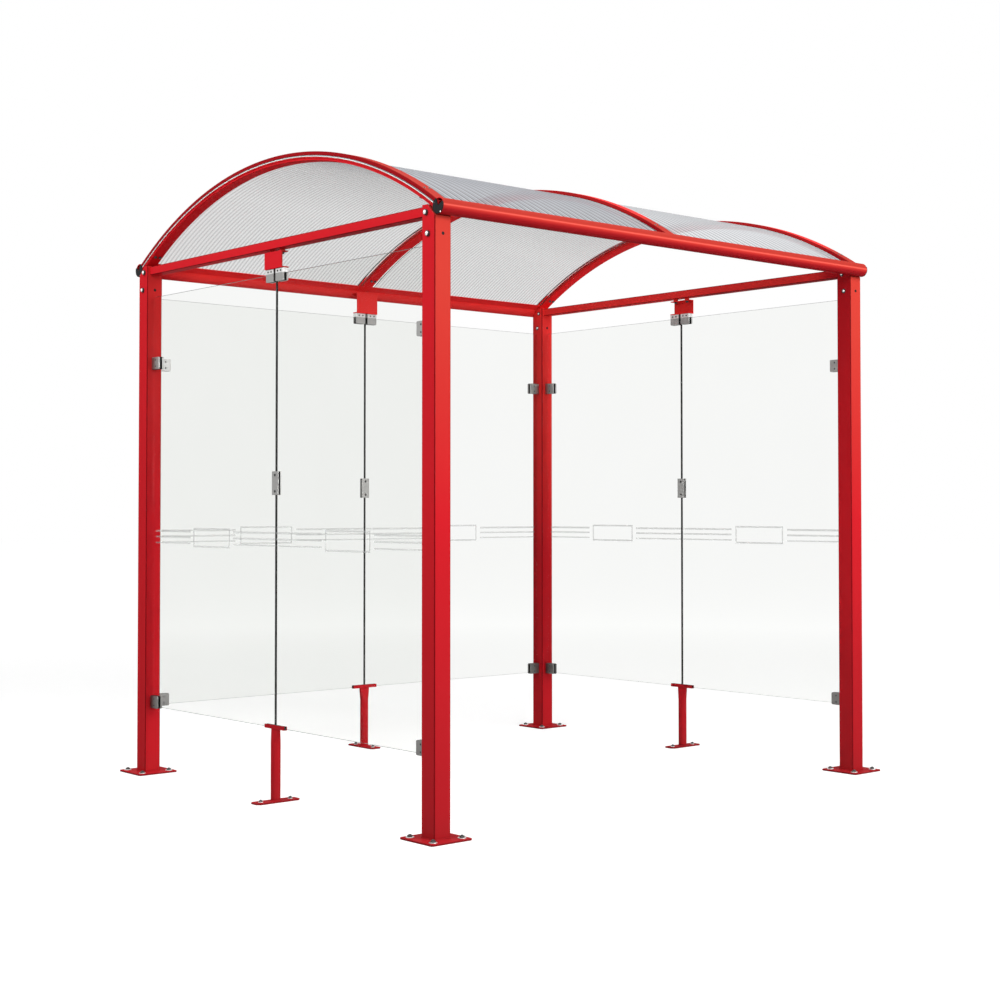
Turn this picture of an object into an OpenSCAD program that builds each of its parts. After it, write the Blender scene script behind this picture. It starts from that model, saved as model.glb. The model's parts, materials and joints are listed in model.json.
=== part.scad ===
// Open-fronted bicycle shelter: four square posts on base plates, two round eaves rails,
// three roof arches over fluted sheet, and glass on both ends and the rear.
// +X runs along the open front, +Y to the rear, +Z up. The origin is on the ground
// at the middle of the footprint.

/* [Plan] */
// Distance between post centres along the front
span_x = 2550; // [1900:10:3200]
// Distance between post centres from front to rear
span_y = 2176; // [1700:2:2400]

/* [Posts] */
// Side of the square post tube
post_w = 80; // [70:1:100]
// Wall of the post tube
post_wall = 3; // [2:0.5:5]
// Outer corner radius of the post tube
post_corner = 5; // [4:0.5:8]
// Side of the square base plate
plate_w = 200; // [180:5:240]
// Thickness of the base plate
plate_t = 8; // [6:1:15]
// Corner radius of the base plate
plate_corner = 12; // [5:1:20]
// Distance between the anchor holes of a base plate
anchor_pitch = 140; // [130:1:150]
// Diameter of the anchor holes
anchor_d = 16; // [12:1:20]

/* [Eaves rails] */
// Outside diameter of the rail
rail_d = 63; // [56:1:76]
// Wall of the rail
rail_wall = 3; // [2:0.5:4]
// Height of the rail's axis
rail_z = 2395; // [2200:5:2600]
// Distance of the rail's axis outside the post centres
rail_out = 51.5; // [48:0.5:60]
// Thickness of the rail's lip under the roof sheet
lip_t = 3; // [2:0.5:4]
// Reach of the lip from the rail's axis
lip_reach = 69; // [50:1:90]
// Thickness of the rail's end caps
cap_t = 4; // [2:0.5:8]
// Opening angle of the notch in an end cap
cap_notch_angle = 84; // [40:2:100]
// Lean of the notch outwards from the vertical
cap_notch_lean = 21; // [0:1:30]

/* [Roof] */
// Radius of the roof sheet's middle surface
roof_r = 2036; // [1700:1:2600]
// Distance of that surface inside the rail's axis
sheet_drop = 3; // [0:0.5:6]
// Thickness of the fluted roof sheet
sheet_t = 6; // [4:0.5:8]
// Width of the arches and of their covers
arch_w = 56; // [40:1:80]
// Depth of the arch bar under the sheet
arch_bar_h = 14.5; // [10:0.5:18]
// Depth of the arch cover over the sheet
arch_cover_h = 16; // [10:0.5:20]
// Wall of the arch bar and of the arch cover
arch_wall = 2.5; // [2:0.5:4]
// Distance of the outer arch faces outside the post centres
arch_out = 32; // [26:1:38]
// Thickness of the middle arch's rib between the two sheets
rib_t = 4; // [3:0.5:6]

/* [Tie beams] */
// Width of the tie beam
tie_w = 50; // [40:1:60]
// Depth of the tie beam
tie_h = 40; // [30:1:60]
// Wall of the tie beam
tie_wall = 3; // [2:0.5:4]
// Drop of the tie beam's top under the post's top
tie_drop = 3; // [2:0.5:20]

/* [Glass] */
// Thickness of the glass
glass_t = 8; // [6:1:10]
// Height of the glass's lower edge
glass_z = 315; // [200:5:400]
// Gap between the two panes of a wall
pane_gap = 7; // [5:0.5:10]
// Thickness of the rubber between glass and metal
seal_t = 2; // [1:0.5:3]

/* [Glass clamps] */
// Length of a post clamp from its base to its tip
clamp_l = 64; // [50:1:80]
// Length of a top clamp from its base to its tip
top_clamp_l = 55; // [45:1:80]
// Width of a clamp along its base
clamp_w = 58; // [50:1:62]
// Solid depth of a post clamp behind the glass edge
post_clamp_base = 6; // [4:1:20]
// Solid depth of a top clamp over the glass edge
top_clamp_base = 20; // [15:1:25]
// Thickness of each cheek of a clamp
cheek_t = 9; // [6:0.5:12]
// Corner radius at a clamp's tip
clamp_corner = 5; // [2:1:12]
// Height of the lower clamps' middle above the glass's lower edge
low_clamp_rise = 22; // [20:1:200]
// Distance of the upper clamps' middle under the glass's upper edge
high_clamp_drop = 317; // [200:1:500]
// Distance between the middles of the two top clamps of a wall
top_clamp_pitch = 73; // [69:1:80]

/* [Top brackets] */
// Drop of the bracket's underside under the tie beam
bracket_drop = 83; // [60:1:140]
// Width of the bracket
bracket_w = 132; // [131:1:160]
// Thickness of the bracket plate
bracket_t = 5; // [4:0.5:8]
// Distance of the bracket's upright face from the glass's middle
bracket_face = 22; // [20:0.5:24]
// Distance that the bracket's lower leg reaches past the glass's middle
bracket_toe = 15; // [12:1:20]
// Height of the spacers between bracket and tie beam
spacer_h = 10; // [5:0.5:15]
// Diameter of those spacers
spacer_d = 24; // [18:1:30]
// Distance between those spacers
spacer_pitch = 80; // [60:1:100]
// Height of the rear bracket's top under the rail's axis
rear_bracket_drop = 5; // [2:0.5:12]

/* [Joint clips] */
// Height of a clip's middle
clip_z = 1360; // [900:5:1600]
// Height of a clip
clip_h = 102; // [80:1:120]
// Width of a clip
clip_w = 47; // [40:1:60]
// Thickness of a clip's plate
clip_t = 5; // [3:0.5:6]
// Corner radius of a clip's plate
clip_corner = 3; // [1:0.5:6]
// Diameter of the screw holes in a clip
clip_hole_d = 6; // [5:0.5:8]
// Distance between the screw holes in a clip
clip_hole_pitch = 70; // [50:1:76]

/* [Feet] */
// Outside diameter of the foot's tube
foot_d = 42; // [38:1:50]
// Wall of the foot's tube
foot_wall = 3; // [2:0.5:4]
// Length of the flattened top of the tube
neck_h = 63; // [40:1:80]
// Height of the tube's fully flattened end
neck_flat_h = 12; // [6:1:20]
// Width of the flattened end
neck_w = 55; // [52:1:60]
// Thickness of the flattened end
neck_t = 10; // [7:1:14]
// Length of the channel that holds the glass
channel_l = 148; // [120:1:200]
// Wall of that channel
channel_wall = 3; // [2:0.5:4]
// Floor of that channel
channel_floor = 3; // [3:0.5:8]
// Height of the channel's sides over the glass's lower edge
channel_grip = 11; // [5:1:12]
// Length of the foot's ground strip
strip_l = 220; // [200:5:260]
// Width of the ground strip
strip_w = 68; // [60:1:80]
// Thickness of the ground strip
strip_t = 6; // [5:1:10]
// Cut at the corners of the ground strip
strip_cut = 14; // [8:1:20]
// Distance between the strip's anchor holes
strip_pitch = 150; // [130:1:170]
// Diameter of the strip's anchor holes
strip_hole_d = 12; // [10:1:16]
// Diameter of the vent hole under the foot's tube
vent_d = 12; // [8:1:16]

/* [Fits] */
// Clearance where curved faces would touch
fit = 0.3; // [0.1:0.05:0.5]

/* [Hidden] */
$fn = 64;
// Overrun of a cut past a face
over = 1;

// The rear foot's strip reaches further out than the base plates, so the plan's middle
// lies this far along Y from the origin, which is the middle of the whole footprint
plan_y = -(strip_l - plate_w) / 4;

rail_r = rail_d / 2;
rail_y = span_y / 2 + rail_out;
rail_half = span_x / 2 + arch_out;
// The roof's axis lies under the ridge, where the sheet runs into both rails
roof_axis_z = rail_z - sqrt(pow(roof_r + sheet_drop, 2) - pow(rail_y, 2));
eaves_angle = asin(rail_y / (roof_r + sheet_drop));
sheet_in = roof_r - sheet_t / 2;
sheet_out = roof_r + sheet_t / 2;
bar_in = sheet_in - fit - arch_bar_h;

// The post's top slopes at 45 degrees under the rail and meets the arch bar at its peak.
// On the slope, height plus distance outwards from the post's middle is slope_sum.
slope_sum = rail_z + rail_out - sqrt(2) * (rail_r + fit);
slope_b = slope_sum - roof_axis_z;
slope_k = span_y / 2 - slope_b;
peak_out = (-slope_k - sqrt(pow(slope_k, 2)
            - 2 * (pow(span_y / 2, 2) + pow(slope_b, 2) - pow(bar_in - fit, 2)))) / 2;
post_top = slope_sum - peak_out;

tie_z = post_top - tie_drop - tie_h;
tie_l = span_y - post_w;

hang_z = tie_z - bracket_drop;
pane_gap_post = post_clamp_base + seal_t;
glass_top = hang_z - top_clamp_base - seal_t;
slot_w = glass_t + 2 * seal_t;
clamp_th = slot_w + 2 * cheek_t;
high_clamp_z = glass_top - high_clamp_drop;
low_clamp_z = glass_z + low_clamp_rise;

channel_z = glass_z - seal_t - channel_floor;
channel_th = slot_w + 2 * channel_wall;

// Where each glazed wall stands: turn of its outward side, half its clear width
// between posts, and the distance of its glass from the origin
WALLS = [["left", 180, tie_l / 2, span_x / 2],
         ["rear", 90, (span_x - post_w) / 2, span_y / 2],
         ["right", 0, tie_l / 2, span_x / 2]];

red = "firebrick";
steel = "silver";
black = "dimgray";

// ---- shared shapes ----

// Moves a piece from the plan's middle to its place about the origin
module on_plan() translate([0, plan_y, 0]) children();

// Rectangle about the origin with round corners
module round_rect(w, l, r) {
    square([w - 2 * r, l], center = true);
    square([w, l - 2 * r], center = true);
    for (sx = [-1, 1], sy = [-1, 1])
        translate([sx * (w / 2 - r), sy * (l / 2 - r)]) circle(r);
}

// Box about the Y-Z middle, starting at x
module bar_x(x, l, w, h) translate([x, -w / 2, 0]) cube([l, w, h]);

// Part of the roof's round shell between two radii, two places along X and two angles
// from the vertical, counted towards the rear
module roof_band(r0, r1, x0, x1, a0, a1)
    translate([0, 0, roof_axis_z]) rotate([90, 0, 90]) rotate(90 - a1)
        rotate_extrude(angle = a1 - a0, $fn = 360)
            translate([r0, x0]) square([r1 - r0, x1 - x0]);

// Angle at the roof's axis that a length along the sheet covers
function roof_turn(len) = len / (roof_r + sheet_drop) * 180 / PI;

// Rod of a radius along both rails' axes
module rail_rods(r)
    for (s = [-1, 1])
        translate([-rail_half - over, s * rail_y, rail_z]) rotate([0, 90, 0])
            cylinder(r = r, h = 2 * (rail_half + over));

// Puts a wall's pieces, drawn along Y at x = 0 with the outside at +X, at that wall
module at_wall(i) on_plan() rotate(WALLS[i][1]) translate([WALLS[i][3], 0, 0]) children();

// ---- posts ----

// Outline of the post with its sloping top, seen along X, with the outside at +x
module post_profile(inset)
    polygon([[-post_w / 2 + inset, plate_t], [post_w / 2 - inset, plate_t],
             [post_w / 2 - inset, slope_sum - post_w / 2 + inset - inset * sqrt(2)],
             [peak_out - inset * (sqrt(2) - 1), post_top - inset],
             [-post_w / 2 + inset, post_top - inset]]);

// Post at the origin, its rail on the +X side: a closed top over an open foot
module post_tube()
    difference() {
        intersection() {
            rotate([90, 0, 0]) linear_extrude(post_w, center = true) post_profile(0);
            linear_extrude(post_top + over) round_rect(post_w, post_w, post_corner);
        }
        intersection() {
            rotate([90, 0, 0]) linear_extrude(post_w, center = true) post_profile(post_wall);
            translate([0, 0, -over]) linear_extrude(post_top + over)
                round_rect(post_w - 2 * post_wall, post_w - 2 * post_wall,
                           post_corner - post_wall);
        }
    }

module post(sx, sy)
    color(red) on_plan()
        translate([sx * span_x / 2, sy * span_y / 2, 0]) rotate(sy * 90) post_tube();

module base_plate(sx, sy)
    color(red) on_plan() translate([sx * span_x / 2, sy * span_y / 2, 0])
        difference() {
            linear_extrude(plate_t) round_rect(plate_w, plate_w, plate_corner);
            for (ax = [-1, 1], ay = [-1, 1])
                translate([ax * anchor_pitch / 2, ay * anchor_pitch / 2, -over])
                    cylinder(d = anchor_d, h = plate_t + 2 * over);
        }

// ---- eaves rails ----

// Rear rail: a round tube with a slot for the roof sheets, and a lip under them
// between the end arches
module rail_body() {
    lip_half = rail_half - arch_w - fit;
    difference() {
        translate([-rail_half, rail_y, rail_z]) rotate([0, 90, 0])
            cylinder(r = rail_r, h = 2 * rail_half);
        translate([-rail_half - over, rail_y, rail_z]) rotate([0, 90, 0])
            cylinder(r = rail_r - rail_wall, h = 2 * (rail_half + over));
        roof_band(sheet_in - fit, sheet_out + fit, -rail_half - over, rail_half + over,
                  eaves_angle - roof_turn(2 * rail_r), eaves_angle);
    }
    roof_band(sheet_in - fit - lip_t, sheet_in - fit, -lip_half, lip_half,
              eaves_angle - roof_turn(lip_reach),
              eaves_angle - roof_turn(rail_r - rail_wall / 2));
}

module eaves_rail(s) color(red) on_plan() mirror([0, s < 0 ? 1 : 0, 0]) rail_body();

// End caps of the rear rail: discs with a notch that opens upwards and outwards
module cap_pair()
    for (s = [-1, 1])
        translate([s > 0 ? rail_half : -rail_half - cap_t, rail_y, rail_z])
            rotate([90, 0, 90]) linear_extrude(cap_t)
                difference() {
                    circle(rail_r);
                    rotate(90 - cap_notch_lean) polygon([[0, 0],
                        for (e = [-1, 1])
                            [rail_d, e * rail_d * tan(cap_notch_angle / 2)]]);
                }

module rail_end_caps(s) color(black) on_plan() mirror([0, s < 0 ? 1 : 0, 0]) cap_pair();

// ---- roof ----

// Hollow band of the roof's curve about x, out to an angle at each end
module arch_tube(x, r0, h, a)
    difference() {
        roof_band(r0, r0 + h, x - arch_w / 2, x + arch_w / 2, -a, a);
        roof_band(r0 + arch_wall, r0 + h - arch_wall,
                  x - arch_w / 2 + arch_wall, x + arch_w / 2 - arch_wall,
                  -a - over, a + over);
        rail_rods(rail_r + fit);
    }

// Place of the left (-1), middle (0) or right (1) arch along X
function arch_x(i) = i * (rail_half - arch_w / 2);

// The end arches' bars run to the rails. The middle bar stops at the rails' lips, and
// has a rib between the two roof sheets.
module arch_bar(i)
    color(red) on_plan() {
        end_angle = i == 0 ? eaves_angle - roof_turn(lip_reach + fit) : eaves_angle;
        arch_tube(arch_x(i), bar_in, arch_bar_h, end_angle);
        if (i == 0)
            roof_band(bar_in + arch_bar_h - arch_wall / 2, sheet_out,
                      -rib_t / 2, rib_t / 2, -end_angle, end_angle);
    }

module arch_cover(i)
    color(red) on_plan() arch_tube(arch_x(i), sheet_out + fit, arch_cover_h, eaves_angle);

module roof_sheet(s)
    color("gainsboro", 0.6) on_plan()
        mirror([s < 0 ? 1 : 0, 0, 0])
            roof_band(sheet_in, sheet_out, rib_t / 2 + fit, rail_half,
                      -eaves_angle, eaves_angle);

// ---- tie beams ----

module tie_beam(s)
    color(red) on_plan() translate([s * span_x / 2, 0, tie_z]) rotate([90, 0, 0])
        linear_extrude(tie_l, center = true)
            difference() {
                translate([-tie_w / 2, 0]) square([tie_w, tie_h]);
                translate([-tie_w / 2 + tie_wall, tie_wall])
                    square([tie_w - 2 * tie_wall, tie_h - 2 * tie_wall]);
            }

// ---- glass walls ----

// Pane on one side of a wall's middle, which the sign s gives
module pane(i, s)
    color("lightcyan", 0.3) at_wall(i)
        translate([-glass_t / 2,
                   s > 0 ? pane_gap / 2 : -WALLS[i][2] + pane_gap_post, glass_z])
            cube([glass_t, WALLS[i][2] - pane_gap_post - pane_gap / 2, glass_top - glass_z]);

// Outline of a clamp on its base at x = 0, with round corners at the tip
module clamp_outline(l) {
    translate([0, -clamp_w / 2]) square([l - clamp_corner, clamp_w]);
    translate([0, -clamp_w / 2 + clamp_corner])
        square([l, clamp_w - 2 * clamp_corner]);
    for (e = [-1, 1])
        translate([l - clamp_corner, e * (clamp_w / 2 - clamp_corner)])
            circle(clamp_corner);
}

// Clamp with its base at x = 0 and the glass in the X-Z plane
module clamp_body(base, l)
    difference() {
        rotate([90, 0, 0]) linear_extrude(clamp_th, center = true) clamp_outline(l);
        translate([base, -slot_w / 2, -clamp_w / 2 - over])
            cube([l, slot_w, clamp_w + 2 * over]);
    }

// Rubber between a clamp's cheeks and round the glass edge
module clamp_seal(base, l)
    difference() {
        translate([base, -slot_w / 2, -clamp_w / 2])
            cube([l - base, slot_w, clamp_w]);
        translate([base + seal_t, -glass_t / 2, -clamp_w / 2 - over])
            cube([l, glass_t, clamp_w + 2 * over]);
    }

// Puts a clamp or its rubber at the four places on a wall's posts
module at_posts(i)
    for (s = [-1, 1], z = [low_clamp_z, high_clamp_z])
        translate([0, s * WALLS[i][2], z]) rotate(-s * 90) children();

// Puts a clamp or its rubber at the two places over a wall's middle
module at_top()
    for (s = [-1, 1])
        translate([0, s * top_clamp_pitch / 2, hang_z])
            rotate([0, 0, 90]) rotate([0, 90, 0]) children();

module glass_clamps(i)
    color(steel) at_wall(i) {
        at_posts(i) clamp_body(post_clamp_base, clamp_l);
        at_top() clamp_body(top_clamp_base, top_clamp_l);
    }

// Rubber in the clamps and the foot's channel, and the strip between the panes
module glass_seals(i)
    color(black) at_wall(i) {
        at_posts(i) clamp_seal(post_clamp_base, clamp_l);
        at_top() clamp_seal(top_clamp_base, top_clamp_l);
        translate([-glass_t / 2, -pane_gap / 2, glass_z])
            cube([glass_t, pane_gap, hang_z - glass_z]);
        translate([-slot_w / 2, -channel_l / 2, glass_z - seal_t])
            difference() {
                cube([slot_w, channel_l, seal_t + channel_grip]);
                translate([seal_t, -over, seal_t])
                    cube([glass_t, channel_l + 2 * over, channel_grip + over]);
            }
    }

// Channel-shaped bracket over the top clamps. Its upright is on the outside of an end
// wall, under spacers at the tie beam, and on the inside of the rear wall, against the rail.
module bracket_channel(top_z, top_reach) {
    bar_x(-bracket_face, bracket_t, bracket_w, top_z);
    bar_x(-bracket_face, bracket_face + bracket_toe, bracket_w, bracket_t);
    translate([0, 0, top_z - bracket_t])
        bar_x(-bracket_face, bracket_face + top_reach, bracket_w, bracket_t);
}

module end_bracket(i)
    color(red) at_wall(i) translate([0, 0, hang_z]) mirror([1, 0, 0]) {
        bracket_channel(bracket_drop - spacer_h, spacer_d / 2);
        for (s = [-1, 1])
            translate([0, s * spacer_pitch / 2, bracket_drop - spacer_h])
                cylinder(d = spacer_d, h = spacer_h);
    }

module rear_bracket()
    color(red) difference() {
        at_wall(1) translate([0, 0, hang_z])
            bracket_channel(rail_z - rear_bracket_drop - hang_z, rail_out);
        on_plan() rail_rods(rail_r + fit);
    }

// Two plates over the joint between the panes
module joint_clip(i)
    color(steel) at_wall(i)
        for (s = [-1, 1])
            translate([s * (glass_t + clip_t) / 2, 0, clip_z]) rotate([0, 90, 0])
                difference() {
                    translate([0, 0, -clip_t / 2]) linear_extrude(clip_t)
                        round_rect(clip_h, clip_w, clip_corner);
                    for (e = [-1, 1])
                        translate([e * clip_hole_pitch / 2, 0, -clip_t / 2 - over])
                            cylinder(d = clip_hole_d, h = clip_t + 2 * over);
                }

// ---- feet ----

// Ground strip across the wall, with cut corners
module foot_strip()
    difference() {
        linear_extrude(strip_t)
            polygon([for (s = [-1, 1]) each [
                [s * strip_l / 2, s * (-strip_w / 2 + strip_cut)],
                [s * strip_l / 2, s * (strip_w / 2 - strip_cut)],
                [s * (strip_l / 2 - strip_cut), s * strip_w / 2],
                [-s * (strip_l / 2 - strip_cut), s * strip_w / 2]]]);
        for (s = [-1, 1])
            translate([s * strip_pitch / 2, 0, -over])
                cylinder(d = strip_hole_d, h = strip_t + 2 * over);
        translate([0, 0, -over]) cylinder(d = vent_d, h = strip_t + 2 * over);
    }

module foot(i)
    color(red) at_wall(i) {
        tube_top = channel_z - neck_h;
        foot_strip();
        translate([0, 0, strip_t])
            difference() {
                cylinder(d = foot_d, h = tube_top - strip_t);
                translate([0, 0, -over])
                    cylinder(d = foot_d - 2 * foot_wall, h = tube_top - strip_t + over);
            }
        // The tube is pressed flat towards the channel
        hull() {
            translate([0, 0, tube_top]) cylinder(d = foot_d, h = over, $fn = 32);
            translate([-neck_t / 2, -neck_w / 2, channel_z - neck_flat_h])
                cube([neck_t, neck_w, neck_flat_h]);
        }
        difference() {
            translate([-channel_th / 2, -channel_l / 2, channel_z])
                cube([channel_th, channel_l, channel_floor + seal_t + channel_grip]);
            translate([-slot_w / 2, -channel_l / 2 - over, channel_z + channel_floor])
                cube([slot_w, channel_l + 2 * over, glass_top]);
        }
    }

// ---- assembly ----

post(-1, -1);  // post_front_left
post(1, -1);  // post_front_right
post(-1, 1);  // post_rear_left
post(1, 1);  // post_rear_right
base_plate(-1, -1);  // base_plate_front_left
base_plate(1, -1);  // base_plate_front_right
base_plate(-1, 1);  // base_plate_rear_left
base_plate(1, 1);  // base_plate_rear_right
eaves_rail(-1);  // eaves_rail_front
eaves_rail(1);  // eaves_rail_rear
rail_end_caps(-1);  // rail_end_caps_front
rail_end_caps(1);  // rail_end_caps_rear
tie_beam(-1);  // tie_beam_left
tie_beam(1);  // tie_beam_right
arch_bar(-1);  // arch_bar_left
arch_bar(0);  // arch_bar_middle
arch_bar(1);  // arch_bar_right
arch_cover(-1);  // arch_cover_left
arch_cover(0);  // arch_cover_middle
arch_cover(1);  // arch_cover_right
roof_sheet(-1);  // roof_sheet_left
roof_sheet(1);  // roof_sheet_right
pane(0, 1);  // glass_left_front
pane(0, -1);  // glass_left_rear
pane(1, 1);  // glass_rear_left
pane(1, -1);  // glass_rear_right
pane(2, -1);  // glass_right_front
pane(2, 1);  // glass_right_rear
glass_clamps(0);  // glass_clamps_left
glass_clamps(1);  // glass_clamps_rear
glass_clamps(2);  // glass_clamps_right
glass_seals(0);  // glass_seals_left
glass_seals(1);  // glass_seals_rear
glass_seals(2);  // glass_seals_right
end_bracket(0);  // top_bracket_left
rear_bracket();  // top_bracket_rear
end_bracket(2);  // top_bracket_right
joint_clip(0);  // joint_clip_left
joint_clip(1);  // joint_clip_rear
joint_clip(2);  // joint_clip_right
foot(0);  // foot_left
foot(1);  // foot_rear
foot(2);  // foot_right
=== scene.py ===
import json
import math

import bmesh
import bpy
from mathutils import Matrix, Vector

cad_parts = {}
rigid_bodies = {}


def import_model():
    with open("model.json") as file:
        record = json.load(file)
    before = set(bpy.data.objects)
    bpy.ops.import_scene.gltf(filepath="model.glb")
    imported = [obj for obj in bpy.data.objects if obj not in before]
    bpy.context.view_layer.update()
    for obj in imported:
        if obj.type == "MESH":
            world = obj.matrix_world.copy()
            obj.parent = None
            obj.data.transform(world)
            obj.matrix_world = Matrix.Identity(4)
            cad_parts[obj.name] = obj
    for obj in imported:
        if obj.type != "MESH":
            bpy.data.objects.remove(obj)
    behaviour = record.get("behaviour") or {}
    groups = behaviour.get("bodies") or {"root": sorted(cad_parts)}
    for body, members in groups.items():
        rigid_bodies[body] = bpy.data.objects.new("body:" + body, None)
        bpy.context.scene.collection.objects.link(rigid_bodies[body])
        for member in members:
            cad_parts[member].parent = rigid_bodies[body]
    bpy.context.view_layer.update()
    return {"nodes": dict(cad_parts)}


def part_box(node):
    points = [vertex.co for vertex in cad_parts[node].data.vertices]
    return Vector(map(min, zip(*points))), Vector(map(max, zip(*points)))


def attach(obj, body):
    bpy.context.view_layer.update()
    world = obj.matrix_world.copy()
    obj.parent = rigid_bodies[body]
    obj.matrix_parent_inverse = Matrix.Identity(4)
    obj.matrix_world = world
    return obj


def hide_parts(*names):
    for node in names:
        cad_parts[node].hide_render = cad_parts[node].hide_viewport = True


for left_over in list(bpy.data.objects):
    bpy.data.objects.remove(left_over)
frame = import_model()


# ---- Posts ----
# Four square steel tubes with rounded edges. Each is closed on top by a plate that slopes
# under the round rail, is welded to its base plate, and is powder-coated red with it.

class Wire:
    """One output of a material's node. Plain arithmetic on it adds Math nodes."""

    def __init__(self, tree, socket=None):
        self.tree, self.socket = tree, socket

    def node(self, kind, settings, inputs, out=0):
        made = self.tree.nodes.new("ShaderNode" + kind)
        for name, value in settings.items():
            setattr(made, name, value)
        for name, value in inputs.items():
            if isinstance(value, Wire):
                self.tree.links.new(value.socket, made.inputs[name])
            else:
                made.inputs[name].default_value = value
        return Wire(self.tree, made.outputs[out])

    def math(self, operation, first, second=0.0, clamp=False):
        return self.node("Math", {"operation": operation, "use_clamp": clamp},
                         {0: first, 1: second})

    def axis(self, name):
        """One coordinate of a place or a direction."""
        return self.node("SeparateXYZ", {}, {"Vector": self}, name)

    def noise(self, scale, detail=2.0):
        return self.node("TexNoise", {}, {"Vector": self, "Scale": scale, "Detail": detail})

    def mix(self, dark, light):
        """Colour between two colours, which may be wires too, by this value."""
        pair = [c if isinstance(c, Wire) else (*c, 1.0) for c in (dark, light)]
        return self.node("Mix", {"data_type": "RGBA"}, {0: self, 6: pair[0], 7: pair[1]}, 2)

    def bump(self, strength, depth):
        return self.node("Bump", {}, {"Strength": strength, "Distance": depth,
                                      "Height": self})

    def clamped(self):
        return self.math("ADD", self, 0.0, clamp=True)

    def __add__(self, other):
        return self.math("ADD", self, other)

    def __sub__(self, other):
        return self.math("SUBTRACT", self, other)

    def __rsub__(self, other):
        return self.math("SUBTRACT", other, self)

    def __mul__(self, other):
        return self.math("MULTIPLY", self, other)

    __radd__ = __add__
    __rmul__ = __mul__

    def feed(self, shader, socket):
        self.tree.links.new(self.socket, shader.inputs[socket])


def new_finish(name, fixed):
    """A material with its constants set, its shader, and a wire with the place in metres."""
    made = bpy.data.materials.new(name)
    made.use_nodes = True
    shader = made.node_tree.nodes["Principled BSDF"]
    for socket, value in fixed.items():
        shader.inputs[socket].default_value = value
    place = Wire(made.node_tree).node("TexCoord", {}, {}, "Object")
    return made, shader, place


def soften(bm, width, over=40):
    """Rounds every edge that turns by more than an angle in degrees."""
    sharp = [e for e in bm.edges
             if e.is_manifold and e.calc_face_angle() > math.radians(over)]
    bmesh.ops.bevel(bm, geom=sharp, offset=width, affect="EDGES", segments=2,
                    profile=0.5, material=-1, clamp_overlap=True)
    return bm


def block(low, high, corner=0.0, soft=0.001):
    """A solid between two corners, its upright edges rounded and the rest softened."""
    low, high = Vector(low), Vector(high)
    bm = bmesh.new()
    bmesh.ops.create_cube(bm, size=1.0, matrix=Matrix.Translation((low + high) / 2)
                          @ Matrix.Diagonal((*(high - low), 1.0)))
    if corner:
        upright = [e for e in bm.edges
                   if abs(e.verts[0].co.z - e.verts[1].co.z) > (high.z - low.z) / 2]
        bmesh.ops.bevel(bm, geom=upright, offset=corner, affect="EDGES",
                        segments=6, profile=0.5, material=-1)
    return soften(bm, soft) if soft else bm


def gathered(parts):
    """One bmesh out of several."""
    whole = bmesh.new()
    for part in parts:
        mesh = bpy.data.meshes.new("part")
        part.to_mesh(mesh)
        part.free()
        whole.from_mesh(mesh)
        bpy.data.meshes.remove(mesh)
    return whole


def corners_marked(bm, how_dark):
    """Marks the faces along edges where shade is painted, as a number from 0 to 1 for each
    normal.
    """
    mark = bm.faces.layers.float.new("painted_edge_shade")
    bm.normal_update()
    for face in bm.faces:
        face[mark] = float(how_dark(face.normal))
    return bm


def piece(name, bm, finish, slot, *nodes):
    """The finished object: in its place, shaded evenly, riding with the frame."""
    bmesh.ops.recalc_face_normals(bm, faces=bm.faces)
    mesh = bpy.data.meshes.new(name)
    bm.to_mesh(mesh)
    bm.free()
    mesh.shade_smooth()
    mesh.set_sharp_from_angle(angle=math.radians(50))
    mesh.materials.append(finish)
    made = bpy.data.objects.new(name, mesh)
    bpy.context.scene.collection.objects.link(made)
    made.modifiers.new("even_shading", "WEIGHTED_NORMAL").keep_sharp = True
    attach(made, "root")
    if nodes:
        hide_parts(*nodes)
    return made


red_coat, red_shader, place = new_finish("red_powder_coat", {
    "IOR": 1.5, "Specular IOR Level": 0.0, "Coat Weight": 0.05, "Coat Roughness": 0.12})
across, depth, height = place.axis("X"), place.axis("Y"), place.axis("Z")
normal = place.node("TexCoord", {}, {}, "Normal")
upright = normal.axis("Z")
to_the_light = (0.0, -1.0, 1.2)
facing_the_light = place.node("VectorMath", {"operation": "DOT_PRODUCT"},
                   {0: normal, 1: to_the_light}, "Value")

# Masks from 0 to 1, by the place in metres and the way that the coat faces: under the roof,
# within the walls, undersides, the front rail's ridge, and faces turned to the light. Most
# of them paint light and shade into the red.
sheltered = ((depth - 0.3) * 2.0).clamped() * 0.65
# Painted light: inside the walls, above a metre, the red is made brighter.
painted_light_inside = (((across + 1.2) * 5.0).clamped() * ((depth + 1.0) * 10.0).clamped()
           * (height - 1.0).clamped())
down = (upright * -2.0).clamped()
above_rail = ((height - 2.39) * 25.0).clamped()
# Painted light: the arches' undersides are made brighter.
painted_light_underside = down * above_rail
# Painted shade: the undersides of the front tubes are made darker.
painted_shade_underside = down * (1.0 - above_rail) * (depth * -5.0).clamped()
# Painted highlight: a bright line along the front rail's ridge.
painted_highlight_ridge = ((1.0 - place.math("ABSOLUTE", height - 2.397) * 220.0).clamped()
              * ((-1.15 - depth) * 100.0).clamped())
# Painted sheen: high faces turned to the light drift to orange, as if lit.
painted_sheen = facing_the_light.clamped() * ((height - 1.2) * 1.1).clamped() * (1.0 - sheltered)

# Dust gathers near the ground. Painted shade darkens the red towards the ground, on high
# upward faces, on the plates' rims and along marked edges.
cloud = place.noise(2.4, 4.0)
dust = ((1.0 - height * 9.0) * (cloud + 0.25)).clamped()
# Painted shade along the edges marked on each mesh.
edge_shade = place.node("Attribute", {"attribute_name": "painted_edge_shade"}, {}, "Fac")
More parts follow.
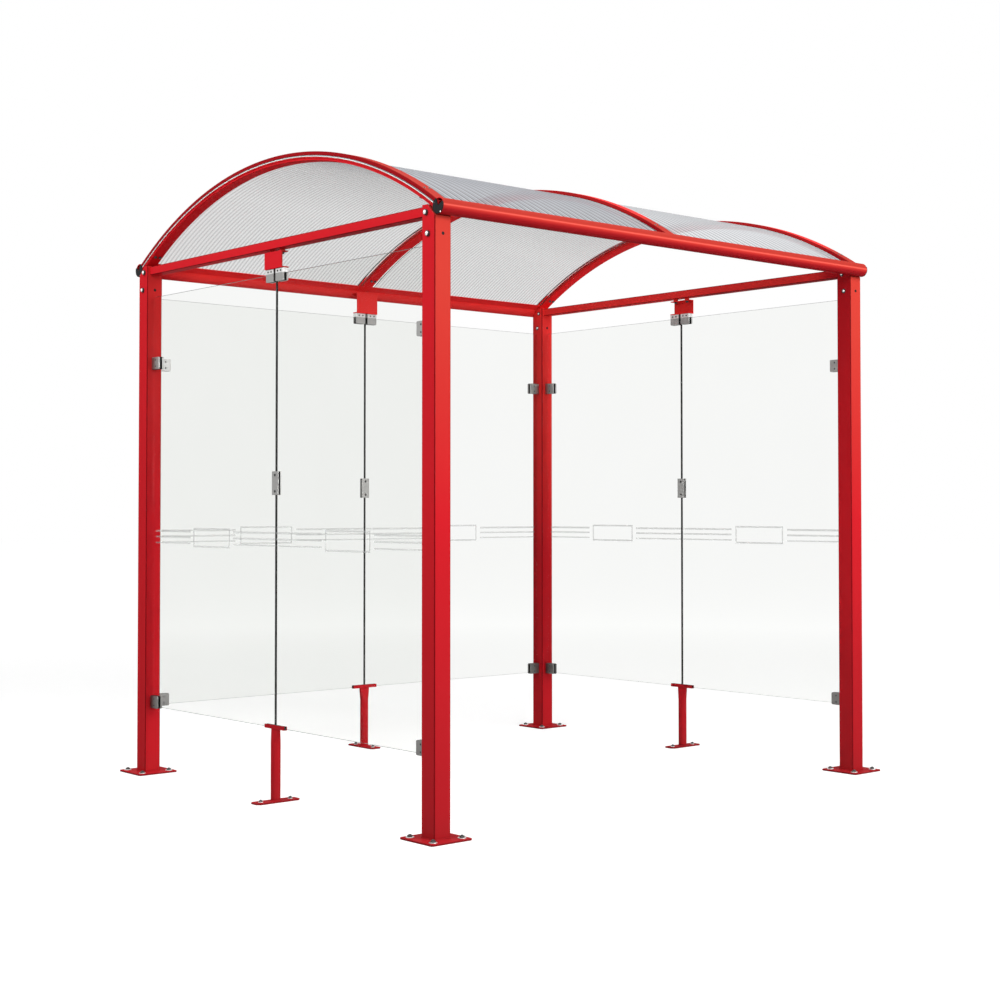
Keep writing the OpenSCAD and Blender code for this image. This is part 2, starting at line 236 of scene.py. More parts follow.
# Painted shade: darker towards the ground, less so under the roof.
painted_shade_low = (1.0 - height * 0.8).clamped() * (1.0 - sheltered)
# Painted shade on upward faces high up.
painted_shade_tops = (upright * 3.0).clamped() * ((height - 1.2) * 2.0).clamped()
# Painted shade on the base plates' rims.
painted_shade_rim = (1.0 - height * 60.0).clamped() * (1.0 - upright * 2.0).clamped()

# The coat's red drifts a little by itself, and each mask pulls it towards its own red.
tone = cloud.mix((0.555, 0.0115, 0.0185), (0.635, 0.0145, 0.0225))
tone = painted_sheen.mix(tone, (0.560, 0.0440, 0.0310))
tone = (painted_shade_low * 0.65).mix(tone, (0.340, 0.0120, 0.0170))
tone = (painted_shade_tops * 0.80).mix(tone, (0.340, 0.0280, 0.0200))
tone = (painted_light_inside * 0.95).mix(tone, (0.950, 0.0410, 0.0390))
tone = painted_light_underside.mix(tone, painted_light_inside.mix((0.680, 0.0120, 0.0180), (0.950, 0.0180, 0.0230)))
tone = (painted_shade_underside * 0.8).mix(tone, (0.300, 0.0070, 0.0110))
tone = (painted_shade_rim * 1.6).clamped().mix(tone, (0.260, 0.0080, 0.0110))
tone = (painted_highlight_ridge * 0.7).mix(tone, (0.800, 0.1250, 0.0950))
tone = (edge_shade * 0.9).mix(tone, (0.170, 0.0020, 0.0040))
(dust * 0.20).mix(tone, (0.260, 0.035, 0.035)).feed(red_shader, "Base Color")
(place.noise(9.0) * 0.14 + 0.34 + dust * 0.15).feed(red_shader, "Roughness")
place.noise(520.0, 1.0).bump(0.08, 0.0004).feed(red_shader, "Normal")

slope_height = 2.4015
weld_out, weld_up = 0.0025, 0.003
for side in ("front", "rear"):
    outwards = -1 if side == "front" else 1
    for hand in ("left", "right"):
        node = "post_" + side + "_" + hand
        low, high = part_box(node)
        middle = (low + high) / 2
        tube = block(low, high, corner=0.005, soft=0)
        cut = bmesh.ops.bisect_plane(tube, geom=tube.verts[:] + tube.edges[:] + tube.faces[:],
                                     plane_co=(0, middle.y, slope_height),
                                     plane_no=(0, outwards, 1), clear_outer=True)
        open_rim = [e for e in cut["geom_cut"] if isinstance(e, bmesh.types.BMEdge)]
        bmesh.ops.holes_fill(tube, edges=open_rim)
        # Painted shade along the post's upright corners.
        corners_marked(soften(tube, 0.0012, over=35),
                       lambda n: abs(n.z) < 0.1 and min(abs(n.x), abs(n.y)) > 0.2)
        weld = block((low.x - weld_out, low.y - weld_out, low.z - 0.001),
                     (high.x + weld_out, high.y + weld_out, low.z + weld_up),
                     corner=0.0065, soft=0.002)
        piece("square_post_" + side + "_" + hand, gathered([tube, weld]), red_coat,
              "red_coat", node)


# ---- Base plates and their anchors ----
# Flat steel plates with rounded corners, coated with the posts. Each one is held down at
# its corners by zinc-plated studs that are set in the slab, with a washer and a nut.

def turned(profile, steps=24):
    """A lathe shape about Z, from points (radius, height) that start and end at the axis."""
    bm = bmesh.new()
    line = [bm.verts.new((r, 0.0, z)) for r, z in profile]
    edges = [bm.edges.new(pair) for pair in zip(line, line[1:])]
    bmesh.ops.spin(bm, geom=line + edges, cent=(0, 0, 0), axis=(0, 0, 1), dvec=(0, 0, 0),
                   angle=math.tau, steps=steps, use_merge=True)
    bmesh.ops.remove_doubles(bm, verts=bm.verts, dist=1e-6)
    return bm


def hexagon(across, low, high):
    """A hexagon head or nut with worn-off corners."""
    bm = bmesh.new()
    radius = across / math.sqrt(3)
    bmesh.ops.create_cone(bm, cap_ends=True, segments=6, radius1=radius, radius2=radius,
                          depth=high - low, matrix=Matrix.Translation((0, 0, (low + high) / 2)))
    return soften(bm, across * 0.05)


def aimed(bm, spot, axis=(0, 0, 1)):
    """Puts a shape that was made about Z on a spot, pointing along an axis."""
    turn = Vector(axis).to_track_quat("Z", "Y").to_matrix().to_4x4()
    bmesh.ops.transform(bm, matrix=Matrix.Translation(spot) @ turn, verts=bm.verts)
    return bm


zinc, zinc_shader, place = new_finish("zinc_plated_steel", {"Metallic": 1.0})
blotch = place.noise(60.0, 3.0)
blotch.mix((0.03, 0.029, 0.028), (0.15, 0.147, 0.142)).feed(zinc_shader, "Base Color")
(blotch * 0.25 + 0.34).feed(zinc_shader, "Roughness")
place.noise(900.0).bump(0.15, 0.0003).feed(zinc_shader, "Normal")

# Bright steel for washers, screws and bolt heads, and as a painted highlight on the clamps'
# tops.
bright_steel, bright_shader, place = new_finish("bright_steel_and_painted_highlight", {"Metallic": 1.0})
place.noise(200.0).mix((0.62, 0.62, 0.61), (0.74, 0.74, 0.73)).feed(bright_shader, "Base Color")
(place.noise(150.0) * 0.15 + 0.22).feed(bright_shader, "Roughness")


def anchor(spot, stud_r, across, washer_r, nut_h):
    """Stud with its thread and nut, and a washer."""
    washer = turned([(0, -0.001), (washer_r, -0.001), (washer_r, 0.0019),
                     (washer_r - 0.0006, 0.0025), (0, 0.0025)])
    top = 0.0024 + nut_h
    thread = [(0, 0.001), (stud_r, 0.001)]
    for turn in range(2):
        thread += [(stud_r, top + turn * 0.0014), (stud_r * 0.84, top + (turn + 0.5) * 0.0014)]
    thread += [(stud_r * 0.8, top + 0.0028), (0, top + 0.0028)]
    parts = (hexagon(across, 0.0023, top), turned(thread, 16))
    return [aimed(part, spot) for part in parts], aimed(washer, spot)


def cad_copy(node, soft):
    """A CAD solid's own mesh with its edges rounded."""
    bm = bmesh.new()
    bm.from_mesh(frame["nodes"][node].data)
    bmesh.ops.remove_doubles(bm, verts=bm.verts, dist=1e-6)
    bmesh.ops.dissolve_limit(bm, angle_limit=math.radians(0.5), verts=bm.verts,
                             edges=bm.edges)
    return soften(bm, soft)


anchor_from_post = 0.07
anchors, washers = [], []
for side in ("front", "rear"):
    for hand in ("left", "right"):
        node = "base_plate_" + side + "_" + hand
        low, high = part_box(node)
        middle = (low + high) / 2
        piece("plate_" + side + "_" + hand, block(low, high, corner=0.012, soft=0.0015),
              red_coat, "red_coat", node)
        for x in (-anchor_from_post, anchor_from_post):
            for y in (-anchor_from_post, anchor_from_post):
                stud, washer = anchor((middle.x + x, middle.y + y, high.z), stud_r=0.0055,
                                      across=0.018, washer_r=0.0165, nut_h=0.007)
                anchors += stud
                washers.append(washer)


# ---- Feet under the glass ----
# A short steel tube stands on a flat strip in the middle of each glazed wall. Its top is
# pressed flat and welded under a channel that takes the panes' lower corners. Two anchors
# hold the strip to the slab.

foot_anchor_from_tube = 0.075
for wall in ("left", "rear", "right"):
    low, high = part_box("foot_" + wall)
    centre = Vector(((low.x + high.x) / 2, (low.y + high.y) / 2, 0.006))
    bead = turned([(0, -0.001), (0.0245, -0.001), (0.0240, 0.0015), (0.0205, 0.004),
                   (0, 0.004)], 32)
    piece("glass_foot_" + wall, gathered([cad_copy("foot_" + wall, 0.0009),
                                          aimed(bead, centre)]),
          red_coat, "red_coat", "foot_" + wall)
    for off in (-foot_anchor_from_tube, foot_anchor_from_tube):
        along = (0, off, 0) if wall == "rear" else (off, 0, 0)
        stud, washer = anchor(centre + Vector(along), stud_r=0.004, across=0.014,
                              washer_r=0.0105, nut_h=0.006)
        anchors += stud
        washers.append(washer)

piece("ground_anchors", gathered(anchors), zinc, "stainless")
piece("anchor_washers", gathered(washers), bright_steel, "stainless")


# ---- Eaves rails and their end caps ----
# Round tubes along the front and the rear with a slot that takes the roof sheets. Black
# moulded caps close their ends, with a notch that lets water run out.

for node in ("eaves_rail_front", "eaves_rail_rear"):
    frame["nodes"][node].material_slots[0].material = red_coat

black_plastic, plastic_shader, place = new_finish("black_moulded_plastic", {
    "IOR": 1.5, "Specular IOR Level": 0.1})
grain = place.noise(700.0, 2.0)
place.noise(14.0).mix((0.004, 0.004, 0.0045), (0.014, 0.014, 0.015)).feed(
    plastic_shader, "Base Color")
(grain * 0.2 + 0.5).feed(plastic_shader, "Roughness")
grain.bump(0.25, 0.0004).feed(plastic_shader, "Normal")
cap_screws = []
for side in ("front", "rear"):
    piece("notched_caps_" + side, cad_copy("rail_end_caps_" + side, 0.0012), black_plastic,
          "end_cap", "rail_end_caps_" + side)
    low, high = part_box("rail_end_caps_" + side)
    for x, way in ((low.x, -1), (high.x, 1)):
        cap_screws.append(aimed(turned([(0, 0.0012), (0.0015, 0.0012), (0.0028, 0.0006),
                                        (0.0032, -0.001), (0, -0.001)], 16),
                                (x, low.y + 0.0165, low.z + 0.0060), (way, 0, 0)))
piece("cap_screws", gathered(cap_screws), bright_steel, "stainless")


# ---- Tie beams ----
# Rectangular steel tubes that tie the front post to the rear post at each end, just under
# the arch. They are welded between the posts and coated with them.

for hand in ("left", "right"):
    low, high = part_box("tie_beam_" + hand)
    beam = block((low.x, low.y - 0.002, low.z), (high.x, high.y + 0.002, high.z), soft=0.003)
    # Painted shade along the beam's long edges.
    corners_marked(beam, lambda n: abs(n.y) < 0.1 and min(abs(n.x), abs(n.z)) > 0.2)
    piece("tie_tube_" + hand, beam, red_coat, "red_coat", "tie_beam_" + hand)


# ---- Roof arches ----
# Flat profiles rolled to the roof's curve: a grooved bar under the sheets and a cover over
# them, at both ends and in the middle. Near each end two screws clamp the cover to the
# bar, with their nuts underneath.

roof_axis = Vector((0, -0.005, 0.7041))
sheet_turn, middle_bar_turn = 33.9, 32.03
bar_inner, bar_outer = 2.0182, 2.0327
cover_inner, cover_outer = 2.0393, 2.0553


def band(x, width, inner, outer):
    """Outline of a flat band: places across the roof and distances from its axis."""
    return [(x - width / 2, inner), (x + width / 2, inner), (x + width / 2, outer),
            (x - width / 2, outer)]


def rolled(outline, turn, corner=0.0, rounded=(), steps=96):
    """An outline rolled about the roof's axis, by so many degrees to the front and rear."""
    bm = bmesh.new()
    away = math.radians(turn)
    ends = [bm.verts.new(roof_axis + Vector((x, -r * math.sin(away), r * math.cos(away))))
            for x, r in outline]
    bm.faces.new(ends)
    if corner:
        bmesh.ops.bevel(bm, geom=[ends[i] for i in rounded], offset=corner,
                        affect="VERTICES", segments=3, profile=0.5, material=-1)
    bmesh.ops.spin(bm, geom=bm.verts[:] + bm.edges[:] + bm.faces[:], cent=roof_axis,
                   axis=(1, 0, 0), dvec=(0, 0, 0), angle=-2 * away, steps=steps)
    return bm


def on_roof(x, radius, angle):
    """Spot at a radius and an angle from the vertical, towards the rear, and the way up."""
    way = Vector((0, math.sin(math.radians(angle)), math.cos(math.radians(angle))))
    return roof_axis + way * radius + Vector((x, 0, 0)), way


stainless, stainless_shader, place = new_finish("satin_stainless_steel", {"Metallic": 1.0})
brushed = place.node("Mapping", {}, {"Vector": place, "Scale": (40.0, 40.0, 400.0)})
streak = brushed.noise(1.0, 3.0)
# The stainless is darker towards the bottom.
lighter_upwards = (place.axis("Z") * 1.4 - 0.2).clamped()
polish = streak.mix((0.25, 0.247, 0.24), (0.38, 0.378, 0.37))
lighter_upwards.mix((0.115, 0.112, 0.108), polish).feed(stainless_shader, "Base Color")
(streak * 0.2 + 0.30).feed(stainless_shader, "Roughness")
place.noise(1200.0).bump(0.08, 0.0002).feed(stainless_shader, "Normal")


def dome(radius, rise):
    """Button head with a socket, on a thin washer."""
    r, h = radius, rise
    return turned([(0, h * 0.55), (r * 0.30, h * 0.55), (r * 0.36, h), (r * 0.62, h * 0.88),
                   (r * 0.86, h * 0.55), (r, h * 0.12), (r * 1.02, 0), (r * 1.25, 0),
                   (r * 1.25, -0.0015), (0, -0.0015)], 20)


half, groove, groove_low, groove_high = 0.028, 0.0245, 2.0236, 2.0276
outline = [(-half, bar_inner), (half, bar_inner), (half, groove_low), (groove, groove_low),
           (groove, groove_high), (half, groove_high), (half, bar_outer),
           (-half, bar_outer), (-half, groove_high), (-groove, groove_high),
           (-groove, groove_low), (-half, groove_low)]
bar_corners = (0, 1, 6, 7)
web_width, web_inner, web_outer = 0.004, 2.0320, 2.0398
screw_turn, screw_off = 30.2, 0.012
screws, nuts = [], []
for name in ("left", "middle", "right"):
    low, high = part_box("arch_bar_" + name)
    x = (low.x + high.x) / 2
    bar_turn = middle_bar_turn if name == "middle" else sheet_turn
    bar = [rolled([(x + dx, r) for dx, r in outline], bar_turn, 0.0025, bar_corners)]
    if name == "middle":
        bar.append(rolled(band(x, web_width, web_inner, web_outer), bar_turn))
    piece("rolled_bar_" + name, gathered(bar), red_coat, "red_coat", "arch_bar_" + name)
    cover = rolled(band(x, 2 * half, cover_inner, cover_outer), sheet_turn, 0.003, range(4))
    # Painted shade along the cover's sides.
    corners_marked(cover, lambda n: 0.8 * (abs(n.x) > 0.2))
    piece("rolled_cover_" + name, cover, red_coat, "red_coat", "arch_cover_" + name)
    for angle in (-screw_turn, screw_turn):
        for dx in (-screw_off, screw_off):
            spot, way = on_roof(x + dx, cover_outer + 0.0003, angle)
            screws.append(aimed(dome(0.0045, 0.003), spot, way))
            spot, way = on_roof(x + dx, bar_inner + 0.0002, angle)
            nuts.append(aimed(hexagon(0.012, -0.001, 0.007), spot, -way))
piece("cover_screws", gathered(screws), zinc, "stainless")
piece("arch_nuts", gathered(nuts), zinc, "stainless")


# ---- Roof sheets ----
# Two translucent sheets of hollow extruded plastic, bent between the rails. Their ribs
# run along the curve, and from outside every second one shows. A bright strip and a dark
# seal lie under them beside the bars, and a pale tape covers the outer edges.

sheet_plastic, sheet_shader, place = new_finish("ribbed_clear_sheet", {
    "IOR": 1.49, "Specular IOR Level": 0.0})
across, along = place.axis("X"), place.axis("Y")
sheet_inner, sheet_outer, rib_pitch = 2.033, 2.039, 0.0209

# Masks from 0 to 1: the ribs, the outer skin, where it is hazy, and where a darker reflection
# is painted.
wave = place.math("SINE", across * (math.tau / rib_pitch)) * 0.5 + 0.5
rib = place.math("POWER", wave, 2.0)
outer_rib = place.math("SINE", across * (math.tau / (2 * rib_pitch))) * 0.5 + 0.5
near_rail = ((-0.86 - along) * 5.0).clamped()
out_from_axis = place.node("VectorMath", {"operation": "MULTIPLY_ADD"}, {
    0: place, 1: (0.0, 1.0, 1.0), 2: -roof_axis})
radius = place.node("VectorMath", {"operation": "LENGTH"}, {0: out_from_axis}, "Value")
outside = ((radius - 2.0355) * 500.0).clamped()
hazy_front = outside * (along * -2.0).clamped()
painted_reflection_left = (outside * (across * -8.0).clamped() * (0.35 - along).clamped()).clamped()
slant = place.node("LayerWeight", {}, {"Blend": 0.5}, "Facing")
edge_on = ((slant - 0.62) * 3.0).clamped()

# Ribs are darker and denser than the skin between them, and more so near the front rail. The
# outer skin's paler, bluer tone and the left sheet's darker, bluer one are painted reflections.
tone = outside.mix((0.50, 0.50, 0.495), (0.60, 0.61, 0.63))
tone = painted_reflection_left.mix(tone, (0.40, 0.41, 0.44))
dark_part = rib * (near_rail * 0.2 + 0.35) + outer_rib * hazy_front * 0.42
dark_part.clamped().mix(tone, (0.10, 0.105, 0.11)).feed(sheet_shader, "Base Color")
inner_rib = rib * (1.0 - outside) * (near_rail * 0.15 + 0.27)
haze = inner_rib + outside * 0.10 + hazy_front * 0.34 + edge_on * 0.22 + 0.135
haze.feed(sheet_shader, "Alpha")
(place.noise(25.0) * 0.12 + 0.3).feed(sheet_shader, "Roughness")
for hand in ("left", "right"):
    low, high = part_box("roof_sheet_" + hand)
    sheet = rolled(band((low.x + high.x) / 2, high.x - low.x, sheet_inner, sheet_outer),
                   sheet_turn, steps=128)
    piece("ribbed_sheet_" + hand, sheet, sheet_plastic, "roof_sheet", "roof_sheet_" + hand)

pale_plastic, pale_shader, place = new_finish("pale_tape", {"IOR": 1.49})
place.noise(30.0).mix((0.78, 0.78, 0.77), (0.86, 0.86, 0.86)).feed(pale_shader, "Base Color")
(place.noise(80.0) * 0.15 + 0.35).feed(pale_shader, "Roughness")
rubber, rubber_shader, place = new_finish("black_rubber", {
    "IOR": 1.5, "Specular IOR Level": 0.3})
bloom = place.noise(45.0, 3.0)
bloom.mix((0.008, 0.008, 0.009), (0.022, 0.022, 0.022)).feed(rubber_shader, "Base Color")
(bloom * 0.2 + 0.6).feed(rubber_shader, "Roughness")
place.noise(500.0).bump(0.2, 0.0003).feed(rubber_shader, "Normal")
trim_turn = 33.2
seal_width, seal_places = 0.0048, (-0.0530, 0.0530, 1.2245)
seals = [rolled(band(x, seal_width, 2.0319, 2.0331), trim_turn) for x in seal_places]
piece("sheet_seals", gathered(seals), rubber, "end_cap")
bright_strip, strip_shader, place = new_finish("bright_aluminium", {"Metallic": 1.0})
place.noise(60.0).mix((0.93, 0.93, 0.93), (0.98, 0.98, 0.98)).feed(strip_shader, "Base Color")
(place.noise(90.0) * 0.08 + 0.10).feed(strip_shader, "Roughness")
strip_width, strip_places = 0.0130, (-0.0435, 0.0435, 1.2340)
strips = [rolled(band(x, strip_width, 2.0317, 2.0331), trim_turn) for x in strip_places]
piece("bright_strips", gathered(strips), bright_strip, "stainless")
tape_width, tape_place = 0.0010, 1.3068
tapes = [rolled(band(x, tape_width, 2.0332, 2.0360), sheet_turn)
         for x in (-tape_place, tape_place)]
piece("edge_tapes", gathered(tapes), pale_plastic, "roof_sheet")


# ---- Glass panes ----
# Clear toughened glass with ground edges, two panes to a wall. Pale etched lines and a
# blank framed field, on one face of each pane, make the glass seen.

glass, glass_shader, place = new_finish("clear_glass", {
    "Transmission Weight": 1.0, "IOR": 1.06})
smear = place.noise(3.0, 3.0)
smear.mix((0.918, 0.926, 0.912), (0.934, 0.940, 0.930)).feed(glass_shader, "Base Color")
(place.math("POWER", smear, 4.0) * 0.03).feed(glass_shader, "Roughness")

ground_edge, edge_shader, place = new_finish("ground_glass_edge", {
    "IOR": 1.45, "Specular IOR Level": 0.0})
place.noise(200.0).mix((0.10, 0.12, 0.11), (0.17, 0.19, 0.18)).feed(edge_shader, "Base Color")
(place.noise(400.0) * 0.2 + 0.5).feed(edge_shader, "Roughness")

etched, etched_shader, place = new_finish("etched_film", {
    "IOR": 1.45, "Specular IOR Level": 0.2})
frost = place.noise(350.0, 3.0)
frost.mix((0.50, 0.52, 0.51), (0.64, 0.66, 0.65)).feed(etched_shader, "Base Color")
(frost * 0.2 + 0.6).feed(etched_shader, "Roughness")
(frost * 0.10 + 0.19).feed(etched_shader, "Alpha")

# Each wall with u, the axis that it runs along (0 is X, 1 is Y), and its panes.
walls = (("left", 1, ("left_front", "left_rear")), ("rear", 0, ("rear_left", "rear_right")),
         ("right", 1, ("right_front", "right_rear")))
frame_half, frame_low, frame_high = 0.155, 1.074, 1.163
frame_rail, frame_stile, gap_beside_frame = 0.0085, 0.0075, 0.026
line_rows = ((1.146, 0.0095), (1.119, 0.0085), (1.091, 0.0065))
gap_at_post, gap_at_joint, near_post = 0.020, 0.004, 0.3
sill, head = frame_low + frame_rail, frame_high - frame_rail
inner, line_end = frame_half - frame_stile, frame_half + gap_beside_frame
for wall, u, panes in walls:
    lines = []
    clamps_low, clamps_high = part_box("glass_clamps_" + wall)
    for pane in panes:
        low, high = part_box("glass_" + pane)
        solid = block(low, high, corner=0.0012, soft=0.0008)
        solid.normal_update()
        for face in solid.faces:
            face.material_index = int(abs(face.normal.z) > 0.5)
        clear_pane = piece("clear_pane_" + pane, solid, glass, "glass", "glass_" + pane)
        clear_pane.data.materials.append(ground_edge)
        mid = (low[u] + high[u]) / 2
        face = high.x if wall == "right" else low[1 - u]

        def film(a, b, z0, z1):
            """A strip of film on the pane's outer face."""
            start, end = Vector((0, 0, z0)), Vector((0, 0, z1))
            start[u], end[u] = a, b
            start[1 - u], end[1 - u] = face - 0.0002, face + 0.0002
            lines.append(block(start, end, soft=0))

        post_first = low[u] < clamps_low[u] + near_post
        post_last = high[u] > clamps_high[u] - near_post
        starts = low[u] + (gap_at_post if post_first else gap_at_joint)
        stops = high[u] - (gap_at_post if post_last else gap_at_joint)
        for z, edge_shade in line_rows:
            film(starts, mid - line_end, z - edge_shade / 2, z + edge_shade / 2)
            film(mid + line_end, stops, z - edge_shade / 2, z + edge_shade / 2)
        film(mid - frame_half, mid + frame_half, head, frame_high)
        film(mid - frame_half, mid + frame_half, frame_low, sill)
        film(mid - frame_half, mid - inner, sill, head)
        film(mid + inner, mid + frame_half, sill, head)
    piece("etched_lines_" + wall, gathered(lines), etched, "glass")


# ---- Glass clamps, clips and rubber ----
# Cast stainless clamps on the posts and over the joint grip the panes through rubber. A
# pair of plates with two screws holds the panes together at the joint.

black_oxide, oxide_shader, place = new_finish("blackened_steel", {
    "IOR": 1.5, "Specular IOR Level": 0.3})
scale = place.noise(300.0)
scale.mix((0.012, 0.012, 0.013), (0.05, 0.05, 0.05)).feed(oxide_shader, "Base Color")
(scale * 0.2 + 0.4).feed(oxide_shader, "Roughness")

highlight_band = 0.020
clip_half, clip_inner, clip_outer = 0.0235, 0.004, 0.009
clip_screw_heights = (1.325, 1.395)
for wall, u, _ in walls:
    frame["nodes"]["glass_seals_" + wall].material_slots[0].material = rubber
    clamps = cad_copy("glass_clamps_" + wall, 0.0014)
    # The clamps' top band takes the bright steel as a painted highlight.
    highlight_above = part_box("glass_clamps_" + wall)[1].z - highlight_band
    bmesh.ops.bisect_plane(clamps, geom=clamps.verts[:] + clamps.edges[:] + clamps.faces[:],
                           plane_co=(0, 0, highlight_above), plane_no=(0, 0, 1))
    for face in clamps.faces:
        face.material_index = int(face.calc_center_median().z > highlight_above)
    cast = piece("cast_clamps_" + wall, clamps, stainless, "stainless",
                 "glass_clamps_" + wall)
    cast.data.materials.append(bright_steel)
    low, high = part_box("joint_clip_" + wall)
    middle = (low + high) / 2
    plates, heads = [], []
    for way in (-1, 1):
        out = Vector((0, 0, 0))
        out[1 - u] = way
        a, b = Vector((0, 0, 0)), Vector((0, 0, 0))
        a[u], b[u] = middle[u] - clip_half, middle[u] + clip_half
        a[1 - u] = middle[1 - u] + way * clip_inner
        b[1 - u] = middle[1 - u] + way * clip_outer
        a.z, b.z = low.z, high.z
        plates.append(block([min(pair) for pair in zip(a, b)],
                            [max(pair) for pair in zip(a, b)], soft=0.0012))
        for z in clip_screw_heights:
            spot = middle + out * clip_outer
            spot.z = z
            heads.append(aimed(dome(0.0058, 0.0028), spot, out))
    piece("joint_plates_" + wall, gathered(plates), stainless, "stainless",
          "joint_clip_" + wall)
    piece("clip_screws_" + wall, gathered(heads), black_oxide, "stainless")

clamp_heights, clamp_half = (0.337, 1.9422), 0.015
screw_from_end, screw_up = 0.036, 0.015
sunk_places, sunk_down = (-0.0482, -0.0248, 0.0248, 0.0482), 0.011
clamp_screws = []
for wall, u, _ in walls:
    low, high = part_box("glass_clamps_" + wall)
    centre = (low + high) / 2
    for way in (-1, 1):
        out = Vector((0, 0, 0))
        out[1 - u] = way
        for z in clamp_heights:
            for edge, s in ((low[u], 1), (high[u], -1)):
                for dz in (-screw_up, screw_up):
                    spot = centre + out * clamp_half
                    spot[u], spot.z = edge + s * screw_from_end, z + dz
                    clamp_screws.append(aimed(dome(0.0035, 0.002), spot, out))
        for off in sunk_places:
            spot = centre + out * clamp_half
            spot[u], spot.z = centre[u] + off, high.z - sunk_down
            sunk_head = turned([(0, 0.0008), (0.0026, 0.0008), (0.003, 0.0016),
                                (0.0042, 0.0012), (0.0044, -0.001), (0, -0.001)], 16)
            clamp_screws.append(aimed(sunk_head, spot, out))
piece("clamp_screws", gathered(clamp_screws), black_oxide, "stainless")


# ---- Top brackets ----
# Folded steel brackets over the top clamps, coated red. The end ones hang from the tie
# beams by two bolts through spacers, and the rear one reaches up to the rail.

for wall in ("left", "rear", "right"):
    piece("folded_bracket_" + wall, cad_copy("top_bracket_" + wall, 0.0010), red_coat,
          "red_coat", "top_bracket_" + wall)

spacer_height, spacer_off = 2.3492, 0.04
bolts = []
for hand in ("left", "right"):
    low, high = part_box("tie_beam_" + hand)
    middle = (low + high) / 2
    for off in (-spacer_off, spacer_off):
        head = gathered([turned([(0, 0.001), (0.010, 0.001), (0.010, -0.002), (0, -0.002)]),
                         hexagon(0.013, -0.008, -0.0015)])
        bolts.append(aimed(head, (middle.x, middle.y + off, spacer_height)))
rail_bolt_y, rail_bolt_lean = 1.108, (0, -0.55, 0.83)
for x, z in ((-0.030, 2.4130), (0.030, 2.4080)):
    bolts.append(aimed(hexagon(0.013, -0.001, 0.007), (x, rail_bolt_y, z),
                       rail_bolt_lean))
piece("bracket_bolts", gathered(bolts), black_oxide, "stainless")


# ---- Bolts through the posts ----
# Stainless bolts with domed heads go through each post into the rail and the tie beam, each
# on a dark collar that paints the shade around its head. A black disc paints the shade in a
# small open hole under the slope that takes an accessory.

upper_bolt_z, lower_bolt_z, upper_bolt_in = 2.377, 2.2945, 0.012
post_half, proud_outside, proud_inside = 0.04, 0.0088, 0.002
heads, shade_collars, hole_shades = [], [], []
for side, outwards in (("front", -1), ("rear", 1)):
    for hand, away in (("left", -1), ("right", 1)):
        low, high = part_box("post_" + side + "_" + hand)
        middle = (low + high) / 2
        for way in (-1, 1):
            proud = proud_outside if way == away else proud_inside
            for dy, z in ((-upper_bolt_in * outwards, upper_bolt_z), (0.0, lower_bolt_z)):
                spot = Vector((middle.x + way * post_half, middle.y + dy, z))
                shade_collar = turned([(0, proud), (0.0102, proud), (0.0112, proud - 0.001),
                                 (0.0112, -0.001), (0, -0.001)])
                shade_collars.append(aimed(shade_collar, spot, (way, 0, 0)))
                spot.x += way * (proud + 0.0008)
                heads.append(aimed(dome(0.0067 if way == away else 0.005, 0.0035), spot,
                                   (way, 0, 0)))
            # A black disc paints the shade inside the open hole.
            hole_shade = turned([(0, 0.0004), (0.0066, 0.0004), (0.0072, -0.001), (0, -0.001)], 16)
            hole_shades.append(aimed(hole_shade, (middle.x, middle.y + way * post_half, lower_bolt_z),
                               (0, way, 0)))
piece("post_bolts", gathered(heads), bright_steel, "stainless")
piece("bolt_shade_collars", gathered(shade_collars), black_oxide, "stainless")
piece("post_hole_shades", gathered(hole_shades), black_plastic, "end_cap")


# ---- Floor, light and camera ----
# A wide pale floor under a white sky that lights a little from behind, a large soft lamp
# overhead, two in front and one at the left.

def looked_at(wire):
    """1 where the eye sees the stage, also in metal and through glass, and 0 for its light."""
    seen, mirrored, through, bounces = (wire.node("LightPath", {}, {}, way) for way in (
        "Is Camera Ray", "Is Glossy Ray", "Is Transmission Ray", "Diffuse Depth"))
    bounced = wire.math("GREATER_THAN", bounces, 0.5)
    return (1.0 - bounced) * wire.math("MAXIMUM", wire.math("MAXIMUM", seen, mirrored), through)


floor_mesh = bmesh.new()
bmesh.ops.create_circle(floor_mesh, cap_ends=True, segments=96, radius=60.0)
mesh = bpy.data.meshes.new("floor")
floor_mesh.to_mesh(mesh)
floor_mesh.free()
floor = bpy.data.objects.new("floor", mesh)
bpy.context.scene.collection.objects.link(floor)
paving = bpy.data.materials.new("pale_floor")
paving.use_nodes = True
tree = paving.node_tree
tree.nodes.clear()
wire = Wire(tree)
place = wire.node("TexCoord", {}, {}, "Object")
speck = place.noise(1.2, 3.0).mix((0.45, 0.45, 0.45), (0.50, 0.50, 0.50))
grey = wire.node("BsdfDiffuse", {}, {"Color": speck})
pale = wire.node("BsdfDiffuse", {}, {"Color": (0.50, 0.50, 0.50, 1.0)})
spread = wire.node("VectorMath", {"operation": "LENGTH"}, {0: place}, "Value")
far_off = ((spread - 3.0) * 0.14).clamped()
glow = wire.node("Emission", {}, {"Color": (1.0, 1.0, 1.0, 1.0),
                                  "Strength": far_off * 0.22 + 0.67})
lit = wire.node("AddShader", {}, {0: pale, 1: glow})
surface = wire.node("MixShader", {}, {0: looked_at(wire), 1: grey, 2: lit})
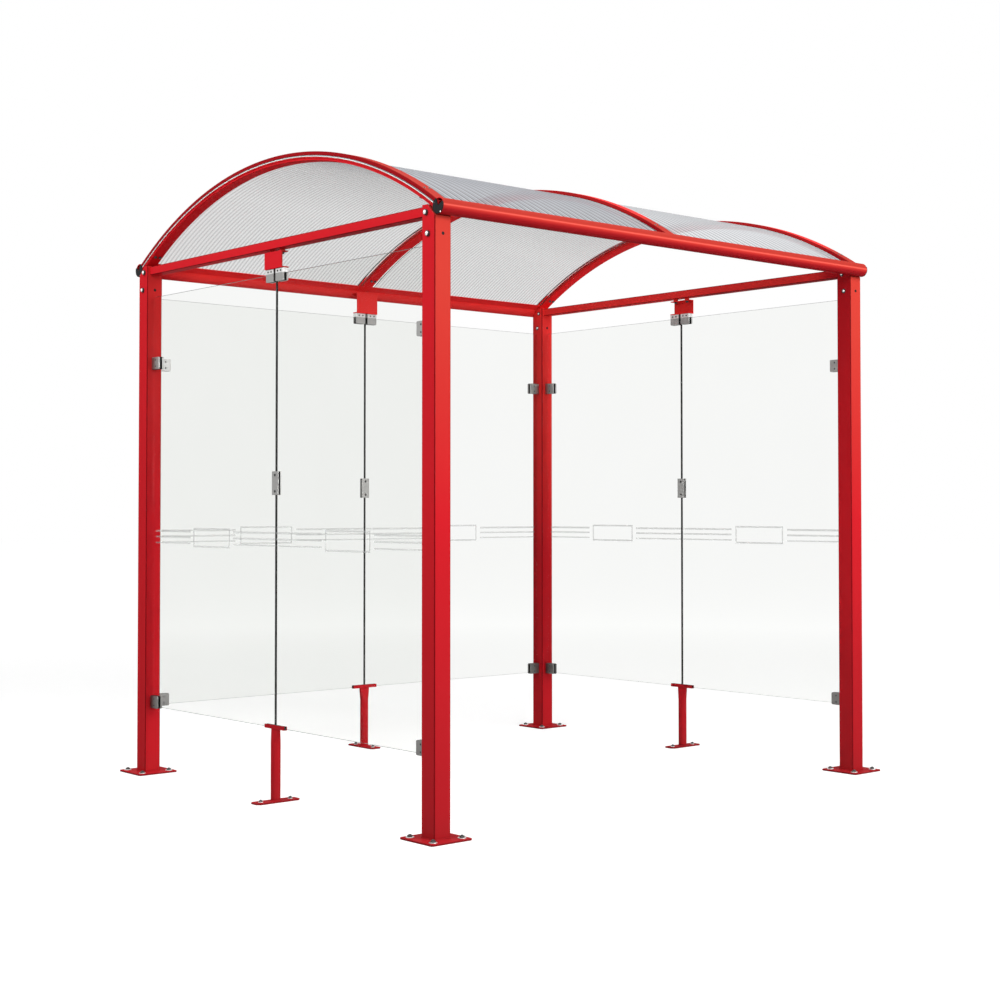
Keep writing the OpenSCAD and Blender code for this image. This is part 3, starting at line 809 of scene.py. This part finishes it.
surface.feed(tree.nodes.new("ShaderNodeOutputMaterial"), "Surface")
mesh.materials.append(paving)

world = bpy.data.worlds.new("studio")
bpy.context.scene.world = world
world.use_nodes = True
tree = world.node_tree
tree.nodes.clear()
wire = Wire(tree)
shown = looked_at(wire)
to_the_rear = (0.62, 0.76, -0.20)
behind = wire.node("VectorMath", {"operation": "DOT_PRODUCT"}, {
    0: wire.node("TexCoord", {}, {}, "Generated"), 1: to_the_rear}, "Value").clamped()
strength = shown * 0.86 + (1.0 - shown) * behind * 0.55 + 0.14
sky = wire.node("Background", {}, {"Color": (1.0, 1.0, 1.0, 1.0), "Strength": strength})
sky.feed(tree.nodes.new("ShaderNodeOutputWorld"), "Surface")

for name, spot, aim, size, power in (
        ("overhead_softbox", (-1.0, -1.0, 5.4), (-1.0, -1.0, 0.0), (9.0, 9.0), 220.0),
        ("high_front_softbox", (0.5, -5.6, 5.0), (-0.3, 0.0, 1.9), (4.0, 2.0), 270.0),
        ("low_front_softbox", (4.0, -17.0, 3.0), (0.0, 0.0, 1.5), (6.0, 3.6), 950.0),
        ("left_softbox", (-4.8, -0.2, 4.2), (-1.2, -0.1, 2.1), (3.0, 1.6), 145.0)):
    lamp_data = bpy.data.lights.new(name, "AREA")
    lamp_data.shape, (lamp_data.size, lamp_data.size_y) = "RECTANGLE", size
    lamp_data.energy = power
    lamp = bpy.data.objects.new(name, lamp_data)
    bpy.context.scene.collection.objects.link(lamp)
    lamp.location = spot
    lamp.rotation_euler = (Vector(aim) - lamp.location).to_track_quat("-Z", "Y").to_euler()

camera_data = bpy.data.cameras.new("camera")
camera_data.lens, camera_data.sensor_width = 60.146, 36.0
camera_data.shift_x, camera_data.shift_y = 0.0051, -0.0307
camera_data.clip_end = 200.0
camera = bpy.data.objects.new("camera", camera_data)
bpy.context.scene.collection.objects.link(camera)
camera.location = (-5.266, -6.027, 1.246)
camera.rotation_euler = (math.radians(91.387), 0.0, math.radians(-40.98))
bpy.context.scene.camera = camera
bpy.context.scene.view_settings.view_transform = "Standard"
